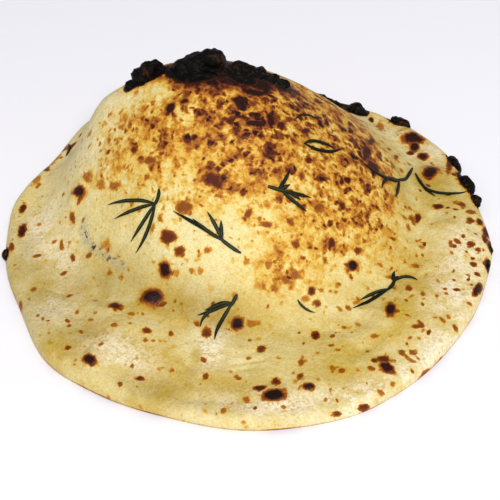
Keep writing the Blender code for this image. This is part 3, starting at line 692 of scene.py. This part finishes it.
# Oil and painted shade: the colour is multiplied down to a darker yellow.
colour = add(tree, MIX, {0: oil_and_shade, 6: colour, 7: linear("#dbc66f")}, blend_type="MULTIPLY", **mixed)
dusted = add(tree, RANGE, {0: dusted, 1: 0.38, 2: 0.52}, **smooth)
dust_grain = add(tree, RANGE, {0: dust_grain, 1: 0.32, 2: 0.54}, **smooth)
flour = add(tree, MATH, {0: flour, 1: dusted}, operation="MULTIPLY")
flour = add(tree, MATH, {0: flour, 1: dust_grain}, operation="MULTIPLY")
unbaked = add(tree, RANGE, {0: bake, 1: 0.14, 2: 0.34, 3: 0.95, 4: 0.0}, **smooth)
flour = add(tree, MATH, {0: flour, 1: unbaked}, operation="MULTIPLY")
colour = add(tree, MIX, {0: flour, 6: colour, 7: linear("#f4e6c6")}, **mixed)
ashy = add(tree, RANGE, {0: mottle, 1: 0.3, 2: 0.55, 3: 0.4, 4: 1.0}, **smooth)
ash = add(tree, MATH, {0: ash, 1: ashy}, operation="MULTIPLY")
soot = add(tree, RANGE, {0: mottle, 1: 0.54, 2: 0.6}, **smooth)
soot = add(tree, MIX, {0: soot, 6: linear("#beb28a"), 7: linear("#1e1813")}, **mixed)
colour = add(tree, MIX, {0: ash, 6: colour, 7: soot}, **mixed)
# Painted shade: hollows and low edges are darkened to a grey beige in the colour itself.
colour = add(tree, MIX, {0: painted_shade, 6: colour, 7: linear("#d8d3c4")}, blend_type="MULTIPLY", **mixed)
speckle = add(tree, RANGE, {0: grain, 1: 0.25, 2: 0.75, 3: 0.8, 4: 1.12})
colour = add(tree, MIX, {0: 1.0, 6: colour, 7: speckle}, blend_type="MULTIPLY", **mixed)
tree.links.new(colour, shader.inputs["Base Color"])
rough = add(tree, MATH, {0: oil_and_shade, 1: -0.2, 2: 0.6}, operation="MULTIPLY_ADD")
rough = add(tree, MATH, {0: flour, 1: 0.25, 2: rough}, operation="MULTIPLY_ADD", use_clamp=True)
tree.links.new(rough, shader.inputs["Roughness"])
shader.inputs["IOR"].default_value = 1.45
shader.inputs["Specular IOR Level"].default_value = 0.18

# Relief in millimetres: the pores of the dough, and blisters that stand up as they brown
relief = add(tree, MATH, {0: bake, 1: 0.45, 2: 0.0}, operation="MULTIPLY_ADD")
relief = add(tree, MATH, {0: pores, 1: 0.4, 2: relief}, operation="MULTIPLY_ADD")
relief = add(tree, MATH, {0: blotch, 1: 1.1, 2: relief}, operation="MULTIPLY_ADD")
relief = add(tree, MATH, {0: flour, 1: 0.15, 2: relief}, operation="MULTIPLY_ADD")
bump = add(tree, "ShaderNodeBump", {"Strength": 1.0, "Distance": MM, "Height": relief})
tree.links.new(bump, shader.inputs["Normal"])

# Charred dough: brittle carbon. It gives the eye a deep black with rust-brown where the skin still
# shows, a little grey ash, fine wrinkles and almost no shine.
char_material, tree, shader = new_material("charred_dough")
place = add(tree, "ShaderNodeTexCoord", out="Object")
coarse = add(tree, NOISE, {"Vector": place, "Scale": 140.0, "Detail": 3.0})
wrinkle = add(tree, NOISE, {"Vector": place, "Scale": 420.0, "Detail": 4.0, "Roughness": 0.65})
rust = add(tree, RANGE, {0: coarse, 1: 0.56, 2: 0.66, 3: 0.0, 4: 1.0}, **smooth)
bare = add(tree, RANGE, {0: wrinkle, 1: 0.4, 2: 0.62}, **smooth)
rust = add(tree, MATH, {0: rust, 1: bare}, operation="MULTIPLY")
burnt = add(tree, SHARE, out="Fac", attribute_name="burnt")
skirt = add(tree, RANGE, {0: burnt, 1: 0.45, 2: 0.9, 3: 0.9, 4: 0.0}, **smooth)
rust = add(tree, MATH, {0: rust, 1: skirt}, operation="MAXIMUM")
colour = add(tree, MIX, {0: rust, 6: linear("#080504"), 7: linear("#40200b")}, **mixed)
sideways = add(tree, "ShaderNodeSeparateXYZ", {0: place})
ash = add(tree, NOISE, {"Vector": place, "Scale": 900.0, "Detail": 2.0})
ash = add(tree, RANGE, {0: ash, 1: 0.6, 2: 0.7}, **smooth)
dusty = add(tree, RANGE, {0: sideways, 1: -0.022, 2: 0.008, 3: 0.1, 4: 0.8}, **smooth)
ash = add(tree, MATH, {0: ash, 1: dusty}, operation="MULTIPLY")
colour = add(tree, MIX, {0: ash, 6: colour, 7: linear("#45432f")}, **mixed)
tree.links.new(colour, shader.inputs["Base Color"])
shader.inputs["Roughness"].default_value = 0.45
shader.inputs["Specular IOR Level"].default_value = 0.08
bump = add(tree, "ShaderNodeBump", {"Strength": 0.9, "Distance": MM, "Height": wrinkle})
tree.links.new(bump, shader.inputs["Normal"])

bread.data.materials.clear()
bread.data.materials.append(crust_material)
bread.data.materials.append(char_material)
BURNT_FACE_SHARE = 0.5  # a face takes the charred finish above this share
burnt_values = np.empty(len(bread.data.vertices), dtype=np.float32)
bread.data.attributes["burnt"].data.foreach_get("value", burnt_values)
corners = np.empty(len(bread.data.polygons) * 3, dtype=np.int32)
bread.data.polygons.foreach_get("vertices", corners)
burnt_faces = burnt_values[corners.reshape(-1, 3)].mean(axis=1) > BURNT_FACE_SHARE
bread.data.polygons.foreach_set("material_index", burnt_faces.astype(np.int32))
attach(bread, "root")
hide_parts("rosemary_focaccia")

# The rosemary: sprigs and loose needles strewn on before baking, dried dark by the oven. Each is
# a thin grooved leaf or a short stem swept along a path that lies on the crust.
NEEDLE_WIDTH = 1.1
NEEDLE_THICKNESS = 0.65
STEM_THICKNESS = 0.8
GROOVE_DEPTH = 0.3
GROOVE_NARROWNESS = 9.0
LEAF_SIDES = 14
RESTING_GAP = 0.4
NORMAL_REACH = 2.5
PATH_STATIONS = 25
RAY_START = 200.0
SPRIGS = {  # stem: x, y, bearing, length, bow; needles: place on it, bearing, length, bow, tip lift
    "rosemary_sprig_left": ((-52.5, -27.8, 68, 10, -1.5), [
        (1, 159, 33, -1, 1.5), (0.5, 174, 28, -0.5, 1), (0.5, 219, 26, 0, 1),
        (1, 237, 31, 2.5, 1.5),
    ]),
    "rosemary_sprig_middle": ((-14.5, -47, 333, 14, -0.6), [
        (0.5, 152, 32, 0.5, 1), (1.5, 149, 21, 0.8, 1), (1, 125, 18, -0.6, 1),
        (1, 93, 11, 0.2, 1),
    ]),
    "rosemary_sprig_upper": ((12, -23, 0, 12, -0.4), [
        (6, 60, 14, -0.6, 1.5), (7, 36, 7, 0, 1), (8.5, 4, 18, 0, 1),
        (8, 336, 19, -0.4, 1), (11, 345, 10, 0.7, 0.5),
    ]),
    "rosemary_pair_top": ((33, 7, 26, 32, -4.3), [(0.5, 21, 24, 3.7, 0.5)]),
    "rosemary_sprig_ridge": ((94, 23, 60, 29, -1.5), [
        (1, 196, 37, 5, 0.5), (0.5, 207, 12, 1.5, 0.5), (0.5, 233, 26, -3, 0.5),
        (1.5, 256, 18, 0.6, 0.5),
    ]),
    "rosemary_pair_right": ((108.5, 41, 300, 23, -1.4), [(9, 350, 33, -6.5, 1)]),
    "rosemary_sprig_front": ((82, -57, 59, 9, -0.7), [
        (1, 214, 27, 0.8, 0.5), (1, 207, 20, -1.2, 0.5), (8, 88, 7, 0.5, 1.5),
        (8.5, 58, 4, 0, 1), (7.5, 2, 17, 4.5, 0.3),
    ]),
    "rosemary_sprig_low": ((-8.5, -73, 55, 7, -0.2), [
        (0.5, 194, 21, -1.1, 0.5), (0.5, 215, 27, -6.5, 0.5), (1, 245, 27, -2.8, 0.5),
        (1.5, 188, 17, -1, 0.5),
    ]),
    "rosemary_needle_crest": ((28.5, 22, 31, 24, 4.5), []),
    "rosemary_needle_small": ((29, -69, 329, 13, -1.7), []),
    "rosemary_needle_edge": ((-119, 60, 92, 13, -1.5), []),
}
LEAFY_STEMS = (  # these have a needle where the others have a woody stem
    "rosemary_pair_top", "rosemary_pair_right", "rosemary_needle_crest", "rosemary_needle_small",
    "rosemary_needle_edge",
)
SLIM_NEEDLES = ("rosemary_needle_small", "rosemary_needle_crest")
SLIM_SHARE = 0.65
STEM_ALONG = 0.1  # a stem is coloured like this place along a leaf
TONE_SEED = 5

crust_tree = BVHTree.FromObject(bread, bpy.context.evaluated_depsgraph_get())


def crust_point(x, y):
    """The place on the crust straight below or above a plan place."""
    return crust_tree.ray_cast(Vector((x, y, RAY_START)) * MM, Vector((0.0, 0.0, -1.0)))[0] / MM


def crust_normal(x, y):
    """The crust's normal, evened out over a needle's width."""
    east = crust_point(x + NORMAL_REACH, y) - crust_point(x - NORMAL_REACH, y)
    north = crust_point(x, y + NORMAL_REACH) - crust_point(x, y - NORMAL_REACH)
    return east.cross(north).normalized()


def walk(x, y, bearing, length, bow):
    """Points and crust normals along a gently bowed path of a given length over the crust."""
    steps = PATH_STATIONS - 1
    swing = 4.0 * bow / length
    path = []
    for step in range(PATH_STATIONS):
        normal = crust_normal(x, y)
        path.append((crust_point(x, y), normal))
        heading = math.radians(bearing) + swing * (1.0 - 2.0 * (step + 0.5) / steps)
        ahead = Vector((math.cos(heading), math.sin(heading), 0.0))
        slope = -normal.dot(ahead) / normal.z
        reach = length / steps / math.sqrt(1.0 + slope * slope)
        x += reach * ahead.x
        y += reach * ahead.y
    return path


def sweep_tree(material):
    """Node tree that sweeps a grooved leaf section along paths, with its sizes as inputs."""
    tree = bpy.data.node_groups.new("rosemary_leaf_sweep", "GeometryNodeTree")
    tree.interface.new_socket("Geometry", in_out="INPUT", socket_type="NodeSocketGeometry")
    sizes = {"Half width": NEEDLE_WIDTH, "Half thickness": NEEDLE_THICKNESS, "Groove depth": GROOVE_DEPTH}
    for name, value in sizes.items():
        socket = tree.interface.new_socket(name, in_out="INPUT", socket_type="NodeSocketFloat")
        socket.default_value = value * MM
    tree.interface.new_socket("Geometry", in_out="OUTPUT", socket_type="NodeSocketGeometry")
    given = add(tree, "NodeGroupInput", out=None).outputs
    paths = add(tree, "GeometryNodeMeshToCurve", {"Mesh": given["Geometry"]})
    facing = add(tree, "GeometryNodeInputNamedAttribute", {"Name": "facing"}, data_type="FLOAT_VECTOR")
    paths = add(tree, "GeometryNodeSetCurveNormal", {"Curve": paths, "Normal": facing}, mode="FREE")
    fullness = add(tree, "GeometryNodeInputNamedAttribute", {"Name": "fullness"}, data_type="FLOAT")

    # The section: across the leaf along Y, through it along X, with a groove down the upper face
    section = add(tree, "GeometryNodeCurvePrimitiveCircle", {"Resolution": LEAF_SIDES, "Radius": 1.0})
    spot = add(tree, "ShaderNodeSeparateXYZ", {0: add(tree, "GeometryNodeInputPosition")}, out=None).outputs
    middle = add(tree, MATH, {0: spot[1], 1: spot[1]}, operation="MULTIPLY")
    middle = add(tree, MATH, {0: middle, 1: -GROOVE_NARROWNESS}, operation="MULTIPLY")
    middle = add(tree, MATH, {0: middle}, operation="EXPONENT")
    above = add(tree, MATH, {0: spot[0], 1: 0.0}, operation="GREATER_THAN")
    groove = add(tree, MATH, {0: middle, 1: above}, operation="MULTIPLY")
    groove = add(tree, MATH, {0: groove, 1: given["Groove depth"]}, operation="MULTIPLY")
    up = add(tree, MATH, {0: spot[0], 1: given["Half thickness"]}, operation="MULTIPLY")
    up = add(tree, MATH, {0: up, 1: groove}, operation="SUBTRACT")
    side = add(tree, MATH, {0: spot[1], 1: given["Half width"]}, operation="MULTIPLY")
    inputs = {"Geometry": section, "Name": "across", "Value": spot[1]}
    section = add(tree, "GeometryNodeStoreNamedAttribute", inputs, data_type="FLOAT", domain="POINT")
    shape = add(tree, "ShaderNodeCombineXYZ", {0: up, 1: side})
    section = add(tree, "GeometryNodeSetPosition", {"Geometry": section, "Position": shape})

    inputs = {"Curve": paths, "Profile Curve": section, "Scale": fullness, "Fill Caps": True}
    swept = add(tree, "GeometryNodeCurveToMesh", inputs)
    swept = add(tree, "GeometryNodeSetShadeSmooth", {"Geometry": swept})
    swept = add(tree, "GeometryNodeRealizeInstances", {"Geometry": swept})
    swept = add(tree, "GeometryNodeSetMaterial", {"Geometry": swept, "Material": material})
    add(tree, "NodeGroupOutput", {"Geometry": swept}, out=None)
    return tree


# Oven-dried rosemary: a narrow leathery leaf. It gives the eye a near-black olive leaf with a
# greyer green groove that is partly its own paler midrib and partly a painted highlight, greener at its
# foot and purple-brown at its tip, and a dull waxy shine.
leaf_material, tree, shader = new_material("dried_rosemary_leaf")
along = add(tree, SHARE, out="Fac", attribute_name="along")
across = add(tree, SHARE, out="Fac", attribute_name="across")
tone = add(tree, SHARE, out="Fac", attribute_name="tone")
place = add(tree, "ShaderNodeTexCoord", out="Object")
mottle = add(tree, NOISE, {"Vector": place, "Scale": 500.0, "Detail": 3.0})
patchy = add(tree, RANGE, {0: mottle, 1: 0.3, 2: 0.7}, **smooth)
colour = add(tree, MIX, {0: patchy, 6: linear("#0a0b06"), 7: linear("#16180a")}, **mixed)
# A paler band down each leaf's middle: partly its own paler groove, partly a painted highlight along the
# leaf.
middle = add(tree, MATH, {0: across}, operation="ABSOLUTE")
middle = add(tree, RANGE, {0: middle, 1: 0.15, 2: 0.6, 3: 0.9, 4: 0.0}, **smooth)
middle = add(tree, MATH, {0: middle, 1: tone}, operation="MULTIPLY")
colour = add(tree, MIX, {0: middle, 6: colour, 7: linear("#3c4325")}, **mixed)
foot = add(tree, RANGE, {0: along, 1: 0.0, 2: 0.35, 3: 0.5, 4: 0.0}, **smooth)
colour = add(tree, MIX, {0: foot, 6: colour, 7: linear("#262b14")}, **mixed)
tip = add(tree, RANGE, {0: along, 1: 0.72, 2: 1.0}, **smooth)
colour = add(tree, MIX, {0: tip, 6: colour, 7: linear("#120a09")}, **mixed)
tree.links.new(colour, shader.inputs["Base Color"])
shader.inputs["Roughness"].default_value = 0.5
shader.inputs["Specular IOR Level"].default_value = 0.12
bump = add(tree, "ShaderNodeBump", {"Strength": 0.12, "Distance": MM, "Height": mottle})
tree.links.new(bump, shader.inputs["Normal"])

leaf_tree = sweep_tree(leaf_material)


def tapered(along, leafy):
    """How full a leaf is along its length; a stem only narrows a little at its ends."""
    if leafy:
        return min(0.5 + 2.0 * along, 1.0, 0.1 + 2.0 * (1.0 - along) ** 0.8)
    return min(0.75 + along, 1.0, 0.5 + 2.0 * (1.0 - along))


def make_sprig(name, stem, needles, dice):
    """One sprig or loose needle: its paths laid on the crust and swept into leaves."""
    stem_path = walk(*stem)
    strands = [(stem_path, 0.0, name in LEAFY_STEMS)]
    for start, bearing, length, bow, lift in needles:
        share = start / stem[3] * (len(stem_path) - 1)
        index = min(int(share), len(stem_path) - 2)
        foot = stem_path[index][0].lerp(stem_path[index + 1][0], share - index)
        strands.append((walk(foot.x, foot.y, bearing, length, bow), lift, True))

    slim = SLIM_SHARE if name in SLIM_NEEDLES else 1.0
    points = []
    edges = []
    facing = []
    fullness = []
    lengthways = []
    tones = []
    for path, lift, leafy in strands:
        half = NEEDLE_THICKNESS if leafy else STEM_THICKNESS
        tone = dice.random()
        last = len(path) - 1
        middles = []
        for step, (point, normal) in enumerate(path):
            middles.append(point + normal * (RESTING_GAP + half + lift * (step / last) ** 2))
        for step, (point, normal) in enumerate(path):
            ahead = (middles[min(step + 1, last)] - middles[max(step - 1, 0)]).normalized()
            if step:
                edges.append((len(points) - 1, len(points)))
            points.append(middles[step])
            facing.extend((normal - ahead * normal.dot(ahead)).normalized())
            fullness.append(tapered(step / last, leafy) * slim)
            lengthways.append(step / last if leafy else STEM_ALONG)
            tones.append(tone)

    data = bpy.data.meshes.new(name)
    data.from_pydata([tuple(point * MM) for point in points], edges, [])
    data.attributes.new("facing", "FLOAT_VECTOR", "POINT").data.foreach_set("vector", facing)
    write_share(data, "fullness", fullness)
    write_share(data, "along", lengthways)
    write_share(data, "tone", tones)
    item = new_object(name.replace("rosemary", "dried"), data)
    sweep = item.modifiers.new("sweep", "NODES")
    sweep.node_group = leaf_tree
    bake_modifiers(item)
    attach(item, "root")
    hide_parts(name)


tone_dice = random.Random(TONE_SEED)
for sprig_name, (stem, needles) in SPRIGS.items():
    make_sprig(sprig_name, stem, needles, tone_dice)

# The floor and the light: a wide pale floor under a big soft lamp, so the bread throws only a faint
# shadow, and a camera at the photograph's height and angle. The floor and the lamp are in metres.
FLOOR_HALF = 6.0
FLOOR_CORNERS = [(-1, -1), (1, -1), (1, 1), (-1, 1)]
SKY_STRENGTH = 0.46
LAMP_PLACE = Vector((0.35, -1.5, 1.85))
LAMP_TARGET = Vector((0.0, 0.0, 0.03))
LAMP_SIZE = 0.7
LAMP_POWER = 48.5
CAMERA_PLACE = (1.9, -445.1, 446.2)
CAMERA_ELEVATION = 46.0
CAMERA_FIELD = 28.0
SENSOR_WIDTH = 36.0

floor_data = bpy.data.meshes.new("pale_floor")
floor_points = [(FLOOR_HALF * x, FLOOR_HALF * y, 0.0) for x, y in FLOOR_CORNERS]
floor_data.from_pydata(floor_points, [], [(0, 1, 2, 3)])
new_object("pale_floor", floor_data)

# Matt white board: it gives the eye a plain pale ground that only brightens the bread from below
floor_material, tree, shader = new_material("matt_white_board")
shader.inputs["Base Color"].default_value = linear("#f6f5f9")
shader.inputs["Roughness"].default_value = 0.9
floor_data.materials.append(floor_material)

world = bpy.data.worlds.new("studio")
world.use_nodes = True
sky = world.node_tree.nodes["Background"]
sky.inputs["Color"].default_value = linear("#f6f6fb")
sky.inputs["Strength"].default_value = SKY_STRENGTH
bpy.context.scene.world = world

lamp_data = bpy.data.lights.new("key_softbox", "AREA")
lamp_data.shape = "SQUARE"
lamp_data.size = LAMP_SIZE
lamp_data.energy = LAMP_POWER
lamp = new_object("key_softbox", lamp_data)
lamp.location = LAMP_PLACE
lamp.rotation_euler = (LAMP_TARGET - LAMP_PLACE).to_track_quat("-Z", "Y").to_euler()

camera_data = bpy.data.cameras.new("camera")
camera_data.sensor_width = SENSOR_WIDTH
camera_data.lens = SENSOR_WIDTH / 2.0 / math.tan(math.radians(CAMERA_FIELD / 2.0))
camera = new_object("camera", camera_data)
camera.location = [value * MM for value in CAMERA_PLACE]
camera.rotation_euler = (math.radians(90.0 - CAMERA_ELEVATION), 0.0, 0.0)
bpy.context.scene.camera = camera
bpy.context.scene.view_settings.view_transform = "Standard"
